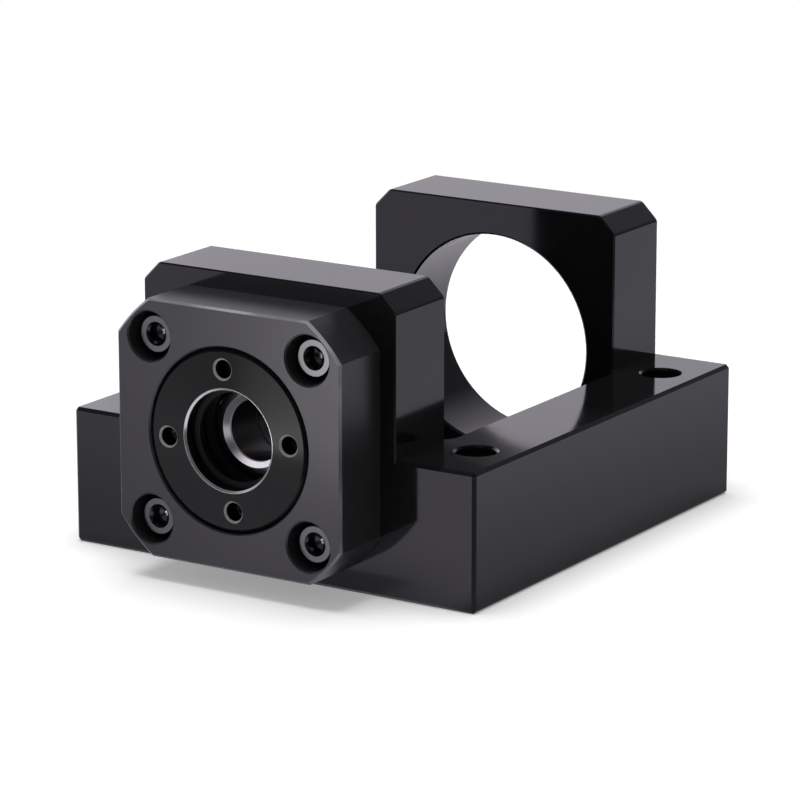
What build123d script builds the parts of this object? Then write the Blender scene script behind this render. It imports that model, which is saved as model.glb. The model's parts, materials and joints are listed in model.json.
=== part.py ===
from build123d import *
import math
import os

# Motor bracket for a ball screw. A block with a front and a rear wall, machined from one
# piece, carries a flanged bearing unit in the front wall and the motor on the rear wall.
# Millimetres. X runs across, Y along the screw from the bearing to the motor, Z up.
# The origin is the middle of the four base bolt holes, on the underside.

# Block
base_width = 76.8
base_length = 82.9
ledge_height = 22.75
axis_height = 25.0
outer_edge_chamfer = 0.55
wall_width = 47.8
wall_above_axis = 24.1
wall_corner_chamfer = 3.0
wall_edge_chamfer = 0.25
front_wall = 14.5
rear_wall = 14.8
seat_chamfer = 0.4

# Pocket between the walls, which gives the coupling its room
pocket_side_gap = 0.8
pocket_below_pilot = 0.6
pocket_corner_radius = 3.0

# Holes that bolt the block down
base_bolt_from_side = 7.0
base_bolt_from_end = 11.8
base_bolt_hole = 6.6
hole_chamfer = 0.35

# Motor side
motor_pilot = 36.8
motor_bolt_circle = 46.0
motor_tap_drill = 3.3
motor_tap_depth = 10.0
bolt_count = 4
first_bolt_angle = 45.0

# Angular contact bearings, two of one size, with the front faces of their outer rings together
bearing_bore = 10.0
bearing_outer = 26.0
bearing_width = 8.0
ball_diameter = 4.762
ball_count = 9
groove_ratio = 1.04
ball_to_groove = 0.06
contact_angle = 30.0
inner_high_land = 1.1
inner_low_land = 1.5
outer_high_land = 1.2
outer_low_land = 2.0
bearing_edge_chamfer = 0.4
bore_mouth_radius = 1.0
face_corner_radius = 0.4
bore_joint_chamfer = 0.3
cage_thickness = 1.5
cage_width = 6.8
ball_to_cage = 0.1

# Housing of the bearing unit
flange_side = 42.2
flange_turned = 51.8
flange_thickness = 11.2
flange_edge_chamfer = 0.35
housing_outer = 34.0
housing_end_chamfer = 0.5
undercut_width = 1.2
undercut_depth = 0.3
ring_thread = 30.0
thread_mouth_chamfer = 0.25
rear_shoulder = 0.7
housing_fit = 0.02
bearing_fit = 0.01

# Ring that screws into the flange and clamps the outer rings
ring_length = 7.3
ring_face_chamfer = 0.7
ring_front_lip = 2.5
ring_hole = 16.2
ring_hole_chamfer = 0.3
thread_fit = 0.05
clamp_gap = 0.2
pin_hole = 3.0
pin_hole_depth = 3.0
pin_hole_circle = 22.9
pin_hole_count = 4
ring_turn = 4.4
pin_hole_chamfer = 0.3

# Seals
seal_outer = 18.8
seal_width = 3.0
seal_lip = 14.5
seal_wall = 0.9
seal_fit = 0.02

# Cap screws that hold the flange
screw_circle = 42.2
screw_size = 4.0
screw_clearance_hole = 4.5
screw_head = 7.0
screw_head_height = 4.0
screw_head_chamfer = 0.6
screw_socket = 3.0
screw_socket_depth = 2.0
screw_socket_drill = 2.6
screw_socket_mouth = 0.65
screw_head_sink = 2.0
screw_counterbore = 8.0
counterbore_chamfer = 0.25
screw_engagement = 10.0
screw_tip_room = 1.5
screw_thread_fit = 0.05
screw_turns = (8.0, 41.0, 22.0, 53.0)

# Rise of a drill's point for each millimetre of its radius
drill_point = 1 / math.tan(math.radians(59))

# Places along Y, and depths counted from the flange's front face
front_face_y = -base_length / 2
rear_face_y = base_length / 2
flange_face_y = front_face_y - flange_thickness
pitch_radius = (bearing_bore + bearing_outer) / 4
ball_radius = ball_diameter / 2
groove_radius = ball_radius * groove_ratio
front_bearing_depth = ring_length + bearing_width / 2
rear_bearing_depth = front_bearing_depth + bearing_width
bearing_end_depth = ring_length + 2 * bearing_width
housing_length = bearing_end_depth + rear_shoulder + seal_width
pocket_floor = axis_height - motor_pilot / 2 - pocket_below_pilot
counterbore_depth = screw_head_sink + screw_head_height


def turned(points):
    """A solid turned about the Y axis from (radius, depth) points."""
    return revolve(make_face(Polyline(*points, close=True)), Axis.Y)


def drilled(radius, depth, mouth):
    """What a drill removes along +Y from the plane y = 0, with a chamfered mouth."""
    return turned([
        (0, 0),
        (radius + mouth, 0),
        (radius, mouth),
        (radius, depth),
        (0, depth + radius * drill_point),
    ])


def passed_through(radius, length, mouth):
    """What a through hole along +Y removes, with both mouths chamfered."""
    return turned([
        (0, 0),
        (radius + mouth, 0),
        (radius, mouth),
        (radius, length - mouth),
        (radius + mouth, length),
        (0, length),
    ])


def around_axis(shape, circle, count, first_angle):
    """Copies of a shape on a circle about the Y axis."""
    copies = []
    for index in range(count):
        angle = math.radians(first_angle + index * 360 / count)
        copies.append(Pos(math.cos(angle) * circle / 2, 0, math.sin(angle) * circle / 2) * shape)
    return copies


def on_screw_axis(shape):
    """Moves a shape from depths behind the flange's face to its place in the block."""
    return Pos(0, flange_face_y, axis_height) * shape


def wall(thickness, middle_y):
    """An upright wall with its two top corners cut off."""
    half = wall_width / 2
    top = axis_height + wall_above_axis
    foot = ledge_height / 2
    outline = Polyline(
        (-half, foot),
        (half, foot),
        (half, top - wall_corner_chamfer),
        (half - wall_corner_chamfer, top),
        (wall_corner_chamfer - half, top),
        (-half, top - wall_corner_chamfer),
        close=True,
    )
    section = Plane.XZ * make_face(outline)
    upright = extrude(section, thickness / 2, both=True)
    return Pos(0, middle_y, 0) * chamfer(upright.edges(), wall_edge_chamfer)


def pocket():
    """The milled room between the walls, with the cutter's radius in its corners."""
    low_y = front_face_y + front_wall
    high_y = rear_face_y - rear_wall
    width = wall_width + 2 * pocket_side_gap
    plan = RectangleRounded(width, high_y - low_y, pocket_corner_radius)
    return Pos(0, (low_y + high_y) / 2, pocket_floor) * extrude(plan, ledge_height)


def base_bolt_holes():
    """The four holes through the ledges."""
    upright = Rot(90, 0, 0) * passed_through(base_bolt_hole / 2, ledge_height, hole_chamfer)
    spacing_x = base_width - 2 * base_bolt_from_side
    spacing_y = base_length - 2 * base_bolt_from_end
    return [place * upright for place in GridLocations(spacing_x, spacing_y, 2, 2)]


def bracket_body():
    """The block: base, two walls, pocket, bearing seat, motor pilot and all its holes."""
    base = Pos(0, 0, ledge_height / 2) * Box(base_width, base_length, ledge_height)
    base = chamfer(base.edges(), outer_edge_chamfer)
    body = base + wall(front_wall, front_face_y + front_wall / 2)
    body += wall(rear_wall, rear_face_y - rear_wall / 2)
    body -= pocket()

    seat = passed_through(housing_outer / 2, front_wall, seat_chamfer)
    body -= Pos(0, front_face_y, axis_height) * seat
    pilot = passed_through(motor_pilot / 2, rear_wall, hole_chamfer)
    body -= Pos(0, rear_face_y - rear_wall, axis_height) * pilot

    tapped = drilled(screw_size / 2, screw_engagement + screw_tip_room, hole_chamfer)
    for hole in around_axis(tapped, screw_circle, bolt_count, first_bolt_angle):
        body -= Pos(0, front_face_y, axis_height) * hole
    motor_hole = Rot(180, 0, 0) * drilled(motor_tap_drill / 2, motor_tap_depth, hole_chamfer)
    for hole in around_axis(motor_hole, motor_bolt_circle, bolt_count, first_bolt_angle):
        body -= Pos(0, rear_face_y, axis_height) * hole
    for hole in base_bolt_holes():
        body -= hole
    return body


def bearing_housing():
    """The turned housing, its flange milled to a square that keeps turned corners."""
    blank = flange_turned / 2
    outer = housing_outer / 2 - housing_fit
    seat = bearing_outer / 2 + bearing_fit
    thread = ring_thread / 2
    recess = seal_outer / 2
    shoulder_hole = ring_hole / 2
    housing = turned([
        (blank, 0),
        (blank, flange_thickness),
        (outer - undercut_depth, flange_thickness),
        (outer - undercut_depth, flange_thickness + undercut_width),
        (outer, flange_thickness + undercut_width + undercut_depth),
        (outer, housing_length - housing_end_chamfer),
        (outer - housing_end_chamfer, housing_length),
        (recess, housing_length),
        (recess, bearing_end_depth + rear_shoulder),
        (shoulder_hole, bearing_end_depth + rear_shoulder),
        (shoulder_hole, bearing_end_depth),
        (seat, bearing_end_depth),
        (seat, ring_length + clamp_gap),
        (thread, ring_length + clamp_gap),
        (thread, thread_mouth_chamfer),
        (thread + thread_mouth_chamfer, 0),
    ])
    housing &= Pos(0, housing_length / 2, 0) * Box(flange_side, housing_length, flange_side)
    rims = housing.faces().sort_by(Axis.Y)[0].outer_wire().edges()
    housing = chamfer(rims, flange_edge_chamfer)

    bored = turned([
        (0, 0),
        (screw_counterbore / 2 + counterbore_chamfer, 0),
        (screw_counterbore / 2, counterbore_chamfer),
        (screw_counterbore / 2, counterbore_depth),
        (screw_clearance_hole / 2, counterbore_depth),
        (screw_clearance_hole / 2, flange_thickness),
        (0, flange_thickness),
    ])
    for hole in around_axis(bored, screw_circle, bolt_count, first_bolt_angle):
        housing -= hole
    return on_screw_axis(housing)


def cap_screw(turn):
    """A hexagon socket head cap screw along +Y, its head on the plane y = 0."""
    shank = screw_size / 2 - screw_thread_fit
    grip = flange_thickness - counterbore_depth
    length = screw_head_height + grip + screw_engagement
    head = screw_head / 2
    screw = turned([
        (0, 0),
        (head - screw_head_chamfer, 0),
        (head, screw_head_chamfer),
        (head, screw_head_height),
        (shank, screw_head_height),
        (shank, length - screw_head_chamfer),
        (shank - screw_head_chamfer, length),
        (0, length),
    ])
    hexagon = RegularPolygon(screw_socket / 2, 6, major_radius=False)
    screw -= extrude(Plane.XZ * hexagon, -screw_socket_depth)
    screw -= drilled(screw_socket_drill / 2, screw_socket_depth, screw_socket_mouth)
    return Rot(0, turn, 0) * screw


def flange_screws():
    """The four cap screws, each left at the turn where it came tight."""
    screws = []
    for index, turn in enumerate(screw_turns):
        angle = first_bolt_angle + index * 360 / len(screw_turns)
        sunk = Pos(0, screw_head_sink, 0) * cap_screw(turn)
        screws += around_axis(sunk, screw_circle, 1, angle)
    return Compound(children=[on_screw_axis(screw) for screw in screws])


def retaining_ring():
    """The threaded ring, with pin holes for its spanner and room behind its lip for the seal."""
    outer = ring_thread / 2 - thread_fit
    hole = ring_hole / 2
    recess = seal_outer / 2
    ring = turned([
        (outer - ring_face_chamfer, 0),
        (outer, ring_face_chamfer),
        (outer, ring_length),
        (recess, ring_length),
        (recess, ring_front_lip),
        (hole, ring_front_lip),
        (hole, ring_hole_chamfer),
        (hole + ring_hole_chamfer, 0),
    ])
    spanner_hole = drilled(pin_hole / 2, pin_hole_depth, pin_hole_chamfer)
    for drill in around_axis(spanner_hole, pin_hole_circle, pin_hole_count, ring_turn):
        ring -= drill
    return on_screw_axis(ring)


def seal(face_depth, inward):
    """A rubber lip seal. Its lip is beside face_depth, and inward is 1 or -1 along Y."""
    outer = seal_outer / 2 - seal_fit
    lip = seal_lip / 2
    section = [
        (outer, 0),
        (outer, seal_width),
        (outer - seal_wall, seal_width),
        (outer - seal_wall, seal_width / 3),
        (lip, seal_width / 4),
        (lip, seal_width / 12),
        (lip + seal_wall, 0),
    ]
    return on_screw_axis(turned([(r, face_depth + inward * t) for r, t in section]))


def outer_ring(middle, outward):
    """An outer ring, its high land on the outward side, with the groove of the balls."""
    half = bearing_width / 2
    edge = bearing_edge_chamfer
    outer = bearing_outer / 2
    high = pitch_radius + outer_high_land
    low = pitch_radius + outer_low_land
    section = [
        (outer, edge - half),
        (outer, half - edge),
        (outer - edge, half),
        (high, half),
        (high, 0),
        (low, 0),
        (low, -half),
        (outer - edge, -half),
    ]
    groove_centre = pitch_radius + ball_radius + ball_to_groove - groove_radius
    return on_screw_axis(grooved_ring(section, middle, outward, groove_centre, []))


def inner_ring(middle, outward):
    """An inner ring, its low land on the outward side, with the groove of the balls."""
    half = bearing_width / 2
    edge = bearing_edge_chamfer
    bore = bearing_bore / 2
    high = pitch_radius - inner_high_land
    low = pitch_radius - inner_low_land
    section = [
        (bore, bore_joint_chamfer - half),
        (bore, half),
        (low, half),
        (low, 0),
        (high, 0),
        (high, edge - half),
        (high - edge, -half),
        (bore + bore_joint_chamfer, -half),
    ]
    rounded = [((bore, half), bore_mouth_radius), ((low, half), face_corner_radius)]
    groove_centre = pitch_radius - ball_radius - ball_to_groove + groove_radius
    return on_screw_axis(grooved_ring(section, middle, outward, groove_centre, rounded))


def grooved_ring(section, middle, outward, groove_centre, rounded):
    """A bearing ring turned from its section, less the round groove that the balls run in."""
    outline = make_face(Polyline(*[(r, middle + outward * t) for r, t in section], close=True))
    for (r, t), radius in rounded:
        corner = outline.vertices().sort_by_distance((r, middle + outward * t, 0))[0]
        outline = fillet(corner, radius)
    groove = Pos(groove_centre, middle) * Circle(groove_radius)
    return revolve(outline - groove, Axis.Y)


def cage(middle):
    """The cage: a band with a round pocket for each ball."""
    inner = pitch_radius - cage_thickness / 2
    outer = pitch_radius + cage_thickness / 2
    band = turned([
        (inner, middle - cage_width / 2),
        (outer, middle - cage_width / 2),
        (outer, middle + cage_width / 2),
        (inner, middle + cage_width / 2),
    ])
    pocket_tool = Pos(pitch_radius, middle, 0) * Rot(0, 90, 0) * Cylinder(
        ball_radius + ball_to_cage, 2 * cage_thickness)
    for index in range(ball_count):
        band -= Rot(0, index * 360 / ball_count, 0) * pocket_tool
    return on_screw_axis(band)


def balls(middle):
    """One bearing's balls, each in its pocket of the cage."""
    ball = Pos(pitch_radius, middle, 0) * Sphere(ball_radius)
    places = [Rot(0, index * 360 / ball_count, 0) for index in range(ball_count)]
    return Compound(children=[on_screw_axis(place * ball) for place in places])


def bearing(side, middle, outward):
    """The four pieces of one bearing, by name."""
    return {
        side + "_outer_ring": outer_ring(middle, outward),
        side + "_inner_ring": inner_ring(middle, outward),
        side + "_cage": cage(middle),
        side + "_balls": balls(middle),
    }


def all_pieces():
    """Every piece of the bracket, by name."""
    pieces = {
        "bracket_body": bracket_body(),
        "bearing_housing": bearing_housing(),
        "flange_screws": flange_screws(),
        "retaining_ring": retaining_ring(),
        "front_seal": seal(ring_front_lip, 1),
        "rear_seal": seal(housing_length, -1),
    }
    pieces.update(bearing("front", front_bearing_depth, -1))
    pieces.update(bearing("rear", rear_bearing_depth, 1))
    return pieces


os.makedirs("parts", exist_ok=True)
for name, piece in all_pieces().items():
    export_step(piece, "parts/" + name + ".step")

# The cages turn slower than the shaft, by this share of its speed
cage_share = (1 - ball_radius / pitch_radius * math.cos(math.radians(contact_angle))) / 2
print("cage turns per shaft turn", round(cage_share, 5))
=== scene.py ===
import json
import math

import bpy
from mathutils import Euler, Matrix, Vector


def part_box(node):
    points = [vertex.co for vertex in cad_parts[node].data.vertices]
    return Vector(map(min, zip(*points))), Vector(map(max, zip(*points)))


# Looks of the motor bracket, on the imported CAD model. Metres, in the CAD's frame:
# X to the right, Y along the screw from the bearing to the motor, Z up.

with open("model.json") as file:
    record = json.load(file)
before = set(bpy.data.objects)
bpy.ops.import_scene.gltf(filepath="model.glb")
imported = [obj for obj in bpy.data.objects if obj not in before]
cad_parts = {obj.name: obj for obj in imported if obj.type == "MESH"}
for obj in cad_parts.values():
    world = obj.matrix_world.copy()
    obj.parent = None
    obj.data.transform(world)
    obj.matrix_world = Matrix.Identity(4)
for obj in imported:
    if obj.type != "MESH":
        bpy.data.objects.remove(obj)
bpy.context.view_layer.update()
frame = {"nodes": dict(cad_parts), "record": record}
nodes = frame["nodes"]
mm = 0.001

# Camera, from straight edges of the block in the photograph. Angles in degrees, lens in mm.
camera_place = Vector((0.3627, -0.57015, 0.1948))
camera_tilt = 75.510
camera_roll = -0.061
camera_turn = 32.586
camera_lens = 188.44

# Places that the looks refer to
mounts = {mount["name"]: mount for mount in frame["record"]["mounts"]}
axis_height = mounts["motor_pilot"]["pos_m"][2]
flange_low, flange_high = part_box("bearing_housing")
screws_low, screws_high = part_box("flange_screws")
face_y = flange_low.y
heads_y = screws_low.y
inner_face_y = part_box("front_inner_ring")[0].y
flange_half = (flange_high.x - flange_low.x) / 2
head_radius = 3.5 * mm
screw_offset = (screws_high.x - screws_low.x) / 2 - head_radius
socket_floor = heads_y + 2 * mm
bore_radius = 5 * mm
ring_hole_radius = 8.1 * mm

# The studio's light has a trace of violet, and so has the gloss of the anodised pieces
cool_white = (0.985, 0.955, 1.04, 1)
violet = (0.95, 0.92, 1.0, 1)
plain_white = (1, 1, 1, 1)

# Grey levels, where 0 is black and 1 is white. A pair is the range that noise gives.
block_levels = (0.0042, 0.0063)
# The housing's second level is a painted highlight on its front rims
housing_level, housing_rim_highlight_level = 0.018, 0.32
# The ring's second level is a painted highlight on the rims of its pin holes
ring_level, ring_rim_highlight_level, ring_bare_level = 0.003, 0.25, 0.5
# The second steel level is a painted shade inside the bore
steel_level, bore_shade_level = 0.30, 0.10
# A painted highlight on the bore's mouth, dark at the upper left and bright at the lower right
mouth_highlight_levels = (0.07, 0.85)
# The last screw level is a painted glint on the floor of the socket
screw_level, screw_worn_level, screw_socket_glint_level = 0.05, 0.12, 0.9

# Roughness. The housing's stays above 0.274 and the screws' below it, because the denoiser draws
# a line where a roughness crosses that value.
block_roughness = (0.06, 0.11)
housing_roughness = (0.278, 0.325)
ring_roughness = 0.22
steel_roughness, bore_roughness = 0.16, 0.36
screw_roughness = (0.2, 0.268)

# Worn, bare and painted places, each as the distances where it starts and where it is whole, or the
# reverse: the rims carry a painted highlight, the bore a painted shade, the mouth a painted
# highlight and the socket's floor a painted glint.
# Across the flange and out from the axis:
flat_rim = (flange_half - 0.38 * mm, flange_half - 0.30 * mm)
turned_rim = (25.45 * mm, 25.52 * mm)
ring_hole_edge = (ring_hole_radius + 0.33 * mm, ring_hole_radius + 0.37 * mm)
pin_holes_reach = (13.8 * mm, 14.0 * mm)
bore_wall = (bore_radius + 0.05 * mm, bore_radius + 0.15 * mm)
mouth_reach = (bore_radius + 0.95 * mm, bore_radius + 1.0 * mm)
# Out from a screw's own axis:
socket_rim = (1.90 * mm, 2.05 * mm)
head_rim = (2.80 * mm, 3.00 * mm)
socket_glint_reach = (0.45 * mm, 0.6 * mm)
# Along Y:
flange_front = (face_y + 0.32 * mm, face_y + 0.50 * mm)
ring_hole_front = (face_y + 0.28 * mm, face_y + 0.32 * mm)
pin_holes_front = (face_y + 0.3 * mm, face_y + 0.4 * mm)
mouth_depth = (inner_face_y + 0.9 * mm, inner_face_y + 0.95 * mm)
head_front = (heads_y + 0.1 * mm, heads_y + 0.3 * mm)
socket_glint_floor = (socket_floor - 0.1 * mm, socket_floor)
# Up from the axis and by the noise, with the shares at both ends of the painted highlight on the
# housing's rims, which is strongest toward the top:
flange_rim_highlight_by_height = (4 * mm, 18 * mm, 0.35, 1)
flange_rim_highlight_by_noise = (0.35, 0.6, 0.5, 1)
# By how far a face of the ring looks forward, and, for the painted highlight on the bore's mouth,
# how far its wall lies to the lower right:
ring_face_forward = (0.93, 0.97)
mouth_highlight_toward_lower_right = (0.0, 0.8)

# The floor: half its side, the part that glows, its colour, and how far from the object the
# camera starts to see plain white and sees nothing else
floor_size = 4.0
floor_glow = 0.3
floor_white = 0.78
floor_plain_white = (0.15, 0.45)

# The floor as gloss sees it, where 1 is white, with painted light and shade: a painted shadow close
# to the block and painted shade on the right. Each row is a place where the level starts to change,
# the place where it is done, and the levels or shares there.
floor_left = (-0.09, -0.01, 0.80, 1.05)
floor_close_shadow = (-0.120, -0.045, 1.0, 0.55)
floor_close_shadow_ends = (-0.04, 0.0, 0, 1)
floor_right_starts = (0.030, 0.040, 0.0, 1.0)
floor_right_front = (-0.03, -0.06, 0.0, 1.0)
floor_right_front_level = 0.2
floor_right_behind = (0.038, 0.090, 0.36, 0.62)
floor_unlit_side = (0.0, 0.012, 0, 1)
floor_unlit_front = (-0.100, -0.115, 0, 1)
floor_unlit_share = 0.15

# The world as gloss sees it, in the same way, by the parts of a direction along X, Y and Z
world_side = (-0.1, 0.3, 1.0, 0.15)
world_height = (0.45, 0.75, 1.0, 0.12)
world_far_left = (-0.56, -0.60, 0.0, 0.6)
world_far_left_behind = (0.0, 0.3, 0, 1)
world_gloss_share = 0.88
world_soft_level = 0.30

# The overhead lamp, in metres and watts
overhead_place = Vector((-0.06, -0.04, 1.0))
overhead_size = 0.7
overhead_power = 8.4

# A low strip light lies in front of the flange, along the line that its right half mirrors
strip_width = 0.085
strip_length = 0.42
strip_height = 1 * mm
strip_level = 4.0
strip_start = 0.09
strip_slope = 0.636
strip_offset = 0.0585


class Nodes:
    """A node tree, with one short call for each kind of step."""

    def __init__(self, tree):
        self.tree = tree
        tree.nodes.clear()

    def add(self, kind, inputs, **settings):
        """A node. An input is a number, a colour or another node's output."""
        made = self.tree.nodes.new(kind)
        for name, value in settings.items():
            setattr(made, name, value)
        for name, value in inputs.items():
            if isinstance(value, bpy.types.NodeSocket):
                self.tree.links.new(value, made.inputs[name])
            else:
                made.inputs[name].default_value = value
        return made

    def math(self, operation, *values):
        return self.add("ShaderNodeMath", dict(enumerate(values)), operation=operation).outputs[0]

    def times(self, *values):
        """The product of two or more values."""
        made = values[0]
        for value in values[1:]:
            made = self.math("MULTIPLY", made, value)
        return made

    def vector_math(self, operation, *values):
        step = self.add("ShaderNodeVectorMath", dict(enumerate(values)), operation=operation)
        return step.outputs["Value" if operation in ("DOT_PRODUCT", "LENGTH") else "Vector"]

    def ramp(self, value, start, end, low, high):
        """low below start, high above end, and a smooth change between them."""
        step = self.add("ShaderNodeMapRange", {
            "Value": value, "From Min": start, "From Max": end, "To Min": low, "To Max": high,
        }, interpolation_type="SMOOTHSTEP")
        return step.outputs["Result"]

    def vary(self, noise, spread, low, high):
        """low to high, as noise goes from spread below its middle to spread above it."""
        return self.ramp(noise, 0.5 - spread, 0.5 + spread, low, high)

    def choose(self, share, low, high):
        """A number between low and high, by its share of high."""
        return self.add("ShaderNodeMix", {
            "Factor": share, "A": low, "B": high,
        }, data_type="FLOAT").outputs[0]

    def rays(self):
        """What kind of ray asks, each kind as 0 or 1."""
        return self.add("ShaderNodeLightPath", {}).outputs

    def place(self):
        return self.add("ShaderNodeTexCoord", {}).outputs["Object"]

    def split(self, vector):
        return self.add("ShaderNodeSeparateXYZ", {0: vector}).outputs

    def join(self, x, y, z):
        return self.add("ShaderNodeCombineXYZ", {0: x, 1: y, 2: z}).outputs[0]

    def noise(self, vector, size):
        """Noise from 0 to 1 whose lumps are about size metres across."""
        return self.add("ShaderNodeTexNoise", {
            "Vector": vector, "Scale": 1 / size, "Detail": 2.0,
        }).outputs[0]

    def bump(self, height, depth, normal=None):
        """A normal for a height from 0 to 1 that stands for depth metres."""
        given = {"Height": height, "Distance": depth}
        if normal:
            given["Normal"] = normal
        return self.add("ShaderNodeBump", given).outputs[0]

    def studio_white(self, rays):
        """White, and the studio's cool white where a glossy surface shows it."""
        return self.add("ShaderNodeMix", {
            0: rays["Is Glossy Ray"], 6: plain_white, 7: cool_white,
        }, data_type="RGBA").outputs[2]

    def from_axis(self, x, z, offset=0):
        """The way in X and Z from the axis, or from the nearest screw, offset from it both ways."""
        across = x
        up = self.math("SUBTRACT", z, axis_height)
        if offset:
            across = self.math("SUBTRACT", self.math("ABSOLUTE", across), offset)
            up = self.math("SUBTRACT", self.math("ABSOLUTE", up), offset)
        return self.join(across, 0, up)


def material(name):
    made = bpy.data.materials.new(name)
    made.use_nodes = True
    return made, Nodes(made.node_tree)


def surface(steps, inputs):
    """The Principled shader of a material, and its output."""
    shader = steps.add("ShaderNodeBsdfPrincipled", {**inputs, "IOR": 1.5})
    steps.add("ShaderNodeOutputMaterial", {"Surface": shader.outputs[0]})


def tint(steps, level, green=0.97, blue=1.06):
    """A grey of the level given, with a trace of violet in it."""
    return steps.join(level, steps.times(level, green), steps.times(level, blue))


def dress(node, made):
    nodes[node].data.materials.clear()
    nodes[node].data.materials.append(made)


def block_black():
    """Glossy black anodised aluminium, with the faint waves that milling leaves."""
    made, steps = material("block_black")
    place = steps.place()
    grain = steps.noise(place, 0.3 * mm)
    waves = steps.noise(place, 12 * mm)
    surface(steps, {
        "Base Color": tint(steps, steps.vary(waves, 0.4, *block_levels)),
        "Roughness": steps.vary(waves, 0.4, *block_roughness),
        "Specular Tint": violet,
        "Normal": steps.bump(grain, 0.0002 * mm),
    })
    return made


def housing_black():
    """Satin black anodised steel. Its front rims carry a painted highlight, strongest toward the
    top and uneven by noise.
    """
    made, steps = material("housing_black")
    place = steps.place()
    x, y, z = steps.split(place)
    grain = steps.noise(place, 0.2 * mm)
    waves = steps.noise(place, 10 * mm)
    up = steps.math("SUBTRACT", z, axis_height)
    reach = steps.math("MAXIMUM", steps.math("ABSOLUTE", x), steps.math("ABSOLUTE", up))
    outward = steps.vector_math("LENGTH", steps.join(x, 0, up))
    rim = steps.math(
        "MAXIMUM",
        steps.ramp(reach, *flat_rim, 0, 1),
        steps.ramp(outward, *turned_rim, 0, 1),
    )
    front = steps.ramp(y, *flange_front, 1, 0)
    uneven = steps.ramp(waves, *flange_rim_highlight_by_noise)
    # Painted highlight on the front rims, strongest toward the top and uneven by noise
    rim_highlight = steps.times(rim, front, uneven, steps.ramp(up, *flange_rim_highlight_by_height))
    surface(steps, {
        "Base Color": tint(steps, steps.choose(rim_highlight, housing_level, housing_rim_highlight_level)),
        "Roughness": steps.vary(waves, 0.4, *housing_roughness),
        "Specular Tint": violet,
        "Normal": steps.bump(grain, 0.0007 * mm),
    })
    return made


def turned(name, look, anisotropic, specular):
    """Metal turned or ground about the screw axis. Its marks run round the axis.

    look gives the level, roughness, metallic share and normal from the distance to the axis, y,
    the direction away from the axis and the face's own normal.
    """
    made, steps = material(name)
    x, y, z = steps.split(steps.place())
    out = steps.from_axis(x, z)
    radius = steps.vector_math("LENGTH", out)
    outward = steps.vector_math("NORMALIZE", out)
    marks = steps.noise(steps.join(radius, y, 0), 0.12 * mm)
    face = steps.add("ShaderNodeNewGeometry", {}).outputs["Normal"]
    level, roughness, metallic, normal = look(steps, radius, y, outward, face)
    surface(steps, {
        "Base Color": tint(steps, level, blue=1.0),
        "Roughness": roughness,
        "Metallic": metallic,
        "Anisotropic": anisotropic,
        "Specular IOR Level": specular,
        # Across the marks: outward on the faces, and along Y in the bores
        "Tangent": steps.vector_math("ADD", outward, (0, 0.6, 0)),
        "Normal": steps.bump(marks, 0.0004 * mm, steps.vector_math("NORMALIZE", normal)),
    })
    return made


def ring_look(steps, radius, y, outward, face):
    """Black, with the edge of the hole left bare and a painted highlight on the rims of the pin
    holes.

    The normals lean outward, which opens the fan of light that a turned face shows.
    """
    lean = 0.13
    bare = steps.times(
        steps.ramp(radius, *ring_hole_edge, 1, 0),
        steps.ramp(y, *ring_hole_front, 1, 0),
    )
    forward = steps.vector_math("DOT_PRODUCT", face, (0, -1, 0))
    # Painted highlight on the rims of the pin holes
    rim_highlight = steps.times(
        steps.ramp(forward, *ring_face_forward, 1, 0),
        steps.ramp(y, *pin_holes_front, 1, 0),
        steps.ramp(radius, *pin_holes_reach, 1, 0),
    )
    leaned = steps.vector_math("MULTIPLY", outward, (lean, lean, lean))
    normal = steps.vector_math("ADD", face, leaned)
    level = steps.choose(rim_highlight, ring_level, ring_rim_highlight_level)
    return steps.choose(bare, level, ring_bare_level), ring_roughness, bare, normal


def steel_look(steps, radius, y, outward, face):
    """Ground steel. The mouth is shaded as a polished shallow cone, with a painted highlight that
    grows toward its lower right; the bore is darker, a painted shade, and rougher.
    """
    inward, forward = 0.26, 0.966
    lower_right = (0.6, 0, -0.8)
    bore = steps.ramp(radius, *bore_wall, 1, 0)
    mouth = steps.times(
        steps.ramp(radius, *mouth_reach, 1, 0),
        steps.ramp(y, *mouth_depth, 1, 0),
    )
    cone = steps.vector_math("MULTIPLY", outward, (-inward, 0, -inward))
    cone = steps.vector_math("ADD", cone, (0, -forward, 0))
    turned_away = steps.vector_math("SUBTRACT", cone, face)
    turned_away = steps.vector_math("MULTIPLY", turned_away, steps.join(mouth, mouth, mouth))
    normal = steps.vector_math("ADD", face, turned_away)
    # Painted highlight on the mouth, brighter toward the lower right
    lower = steps.vector_math("DOT_PRODUCT", outward, lower_right)
    mouth_highlight_level = steps.ramp(lower, *mouth_highlight_toward_lower_right, *mouth_highlight_levels)
    level = steps.choose(mouth, steel_level, mouth_highlight_level)
    # Painted shade inside the bore
    level = steps.choose(bore, level, bore_shade_level)
    return level, steps.choose(bore, steel_roughness, bore_roughness), 1.0, normal


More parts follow.
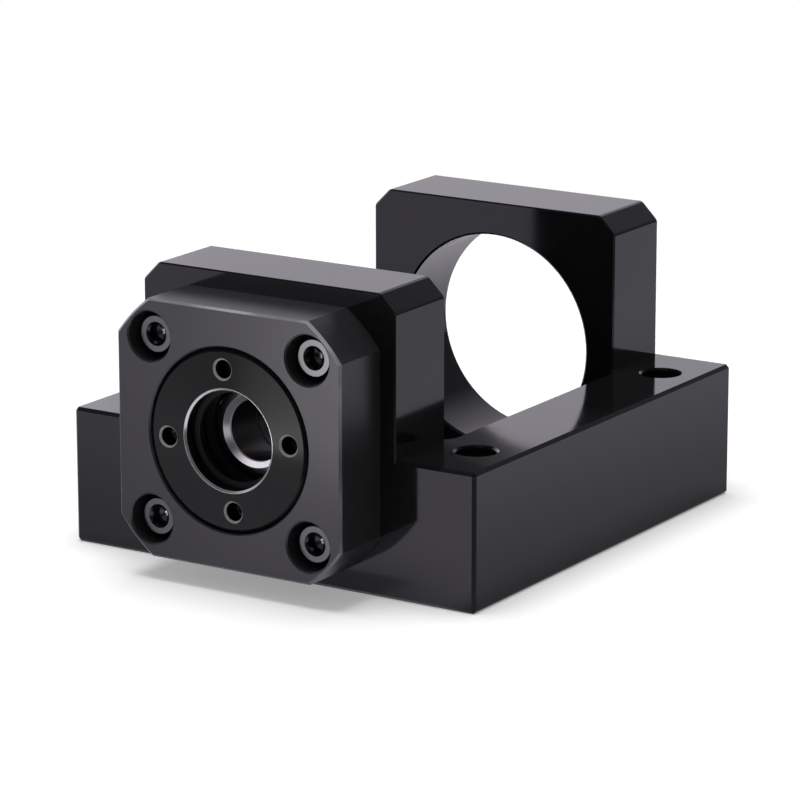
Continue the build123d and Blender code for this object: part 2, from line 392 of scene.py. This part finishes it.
def screw_black():
    """Blackened steel: the head's face worn a little brighter, and a painted glint on the floor of
    the socket.
    """
    made, steps = material("screw_black")
    place = steps.place()
    x, y, z = steps.split(place)
    grain = steps.noise(place, 0.15 * mm)
    radius = steps.vector_math("LENGTH", steps.from_axis(x, z, screw_offset))
    face = steps.times(
        steps.ramp(radius, *socket_rim, 0, 1),
        steps.ramp(radius, *head_rim, 1, 0),
        steps.ramp(y, *head_front, 1, 0),
    )
    worn = steps.times(face, steps.vary(grain, 0.25, 0.8, 1.0))
    # Painted glint on the floor of the hex socket
    socket_glint = steps.times(
        steps.ramp(radius, *socket_glint_reach, 1, 0),
        steps.ramp(y, *socket_glint_floor, 0, 1),
    )
    level = steps.choose(worn, screw_level, screw_worn_level)
    level = steps.choose(socket_glint, level, screw_socket_glint_level)
    surface(steps, {
        "Base Color": tint(steps, level, blue=1.02),
        "Roughness": steps.vary(grain, 0.2, *screw_roughness),
        "Metallic": 1.0,
        "Normal": steps.bump(grain, 0.0005 * mm),
    })
    return made


def plain(name, colour, roughness, grain_size, grain_depth, metallic=0.0, specular=0.5):
    """A smooth piece with a fine grain, whose roughness varies by a seventh or so."""
    made, steps = material(name)
    grain = steps.noise(steps.place(), grain_size)
    surface(steps, {
        "Base Color": colour + (1,),
        "Roughness": steps.vary(grain, 0.2, roughness * 0.85, roughness * 1.15),
        "Metallic": metallic,
        "Specular IOR Level": specular,
        "Normal": steps.bump(grain, grain_depth),
    })
    return made


def dress_all():
    dress("bracket_body", block_black())
    dress("bearing_housing", housing_black())
    dress("retaining_ring", turned("ring_black", ring_look, anisotropic=0.9, specular=0.2))
    dress("flange_screws", screw_black())
    steel = turned("bearing_steel_ground", steel_look, anisotropic=0.4, specular=0.5)
    ball = plain("ball_steel", (0.62, 0.62, 0.63), 0.05, 1 * mm, 0.0, metallic=1.0)
    cage = plain("cage_polyamide_black", (0.02, 0.02, 0.021), 0.45, 0.3 * mm, 0.001 * mm)
    rubber = plain(
        "seal_rubber_black", (0.008, 0.008, 0.008), 0.6, 0.2 * mm, 0.002 * mm, specular=0.12)
    for side in ("front", "rear"):
        dress(side + "_outer_ring", steel)
        dress(side + "_inner_ring", steel)
        dress(side + "_balls", ball)
        dress(side + "_cage", cage)
        dress(side + "_seal", rubber)


def floor_in_gloss(steps, x, y):
    """The floor's level for gloss, with painted light and shade: darker far to the left, a painted
    shadow close to the block, and painted shade on the right.
    """
    # Painted shadow close to the block
    close = steps.choose(steps.ramp(x, *floor_close_shadow_ends), steps.ramp(y, *floor_close_shadow), 1.0)
    left = steps.times(steps.ramp(x, *floor_left), close)
    front = steps.ramp(y, *floor_right_front)
    # Painted shade on the right, darker close to the block
    behind = steps.ramp(x, *floor_right_behind)
    right = steps.choose(front, behind, floor_right_front_level)
    level = steps.choose(steps.ramp(x, *floor_right_starts), left, right)

    # Dark floor to the front right, which only edges that face it show
    unlit = steps.times(steps.ramp(x, *floor_unlit_side), steps.ramp(y, *floor_unlit_front))
    return steps.times(level, steps.choose(unlit, 1.0, floor_unlit_share))


def build_floor():
    """A white floor. It glows a little, to be white under a plain light and keep its shadow."""
    corners = [(x * floor_size, y * floor_size, 0) for x, y in ((-1, -1), (1, -1), (1, 1), (-1, 1))]
    mesh = bpy.data.meshes.new("floor")
    mesh.from_pydata(corners, [], [(0, 1, 2, 3)])
    floor = bpy.data.objects.new("floor", mesh)
    bpy.context.scene.collection.objects.link(floor)
    made, steps = material("floor_white")
    rays = steps.rays()
    x, y, _ = steps.split(steps.place())
    level = steps.choose(rays["Is Glossy Ray"], 1.0, floor_in_gloss(steps, x, y))
    visible = steps.math("MAXIMUM", rays["Is Camera Ray"], rays["Is Glossy Ray"])
    white = steps.studio_white(rays)
    glow = steps.add("ShaderNodeEmission", {
        "Color": white, "Strength": steps.times(visible, level, floor_glow),
    })
    shade = steps.times(level, floor_white)
    lit = steps.vector_math("MULTIPLY", white, steps.join(shade, shade, shade))
    diffuse = steps.add("ShaderNodeBsdfDiffuse", {"Color": lit})
    both = steps.add("ShaderNodeAddShader", {0: glow.outputs[0], 1: diffuse.outputs[0]})

    # Far from the object the camera sees the plain white of the background
    away = steps.vector_math("LENGTH", steps.join(x, y, 0))
    background = steps.add("ShaderNodeEmission", {"Color": plain_white, "Strength": 1.0})
    shown = steps.add("ShaderNodeMixShader", {
        0: steps.times(steps.ramp(away, *floor_plain_white, 0, 1), rays["Is Camera Ray"]),
        1: both.outputs[0],
        2: background.outputs[0],
    })
    steps.add("ShaderNodeOutputMaterial", {"Surface": shown.outputs[0]})
    mesh.materials.append(made)


def build_world():
    """The studio: white for the camera, soft light for the object, a darker right for gloss."""
    world = bpy.data.worlds.new("studio")
    bpy.context.scene.world = world
    world.use_nodes = True
    steps = Nodes(world.node_tree)
    direction = steps.add("ShaderNodeTexCoord", {}).outputs["Generated"]
    x, y, z = steps.split(direction)
    far_left = steps.times(
        steps.ramp(x, *world_far_left), steps.ramp(y, *world_far_left_behind))
    sides = steps.math("ADD", steps.ramp(x, *world_side), far_left)
    seen = steps.times(sides, steps.ramp(z, *world_height), world_gloss_share)
    rays = steps.rays()
    level = steps.choose(rays["Is Glossy Ray"], world_soft_level, seen)
    level = steps.choose(rays["Is Camera Ray"], level, 1.0)
    background = steps.add("ShaderNodeBackground", {
        "Color": steps.studio_white(rays), "Strength": level,
    })
    steps.add("ShaderNodeOutputWorld", {"Surface": background.outputs[0]})


def area_light(name, shape, width, length, power):
    """A lamp that lights from one side, which the camera doesn't see."""
    data = bpy.data.lights.new(name, "AREA")
    data.shape = shape
    data.size = width
    data.size_y = length
    data.energy = power
    lamp = bpy.data.objects.new(name, data)
    lamp.visible_camera = False
    bpy.context.scene.collection.objects.link(lamp)
    return lamp


def build_lights():
    """A large soft lamp overhead, which gloss doesn't show, and a low strip light in front."""
    overhead = area_light("overhead", "DISK", overhead_size, overhead_size, overhead_power)
    overhead.location = overhead_place
    overhead.rotation_euler = (-overhead_place).to_track_quat("-Z", "Y").to_euler()
    overhead.visible_glossy = False

    power = strip_level * math.pi * strip_width * strip_length
    strip = area_light("strip", "RECTANGLE", strip_width, strip_length, power)
    turn = math.atan(strip_slope)
    middle = strip_start + strip_length * math.cos(turn) / 2
    strip.location = (strip_offset - strip_slope * middle, face_y - middle, strip_height)
    strip.rotation_euler = (math.pi, 0, -turn)


def build_camera():
    data = bpy.data.cameras.new("camera")
    data.lens = camera_lens
    camera = bpy.data.objects.new("camera", data)
    camera.location = camera_place
    turn = Euler((math.radians(camera_tilt), 0, math.radians(camera_turn)))
    roll = Euler((0, 0, math.radians(camera_roll)))
    camera.rotation_euler = (turn.to_matrix() @ roll.to_matrix()).to_euler()
    bpy.context.scene.collection.objects.link(camera)
    bpy.context.scene.camera = camera


bpy.context.scene.view_settings.view_transform = "Standard"
dress_all()
build_floor()
build_world()
build_lights()
build_camera()

bpy.context.view_layer.update()
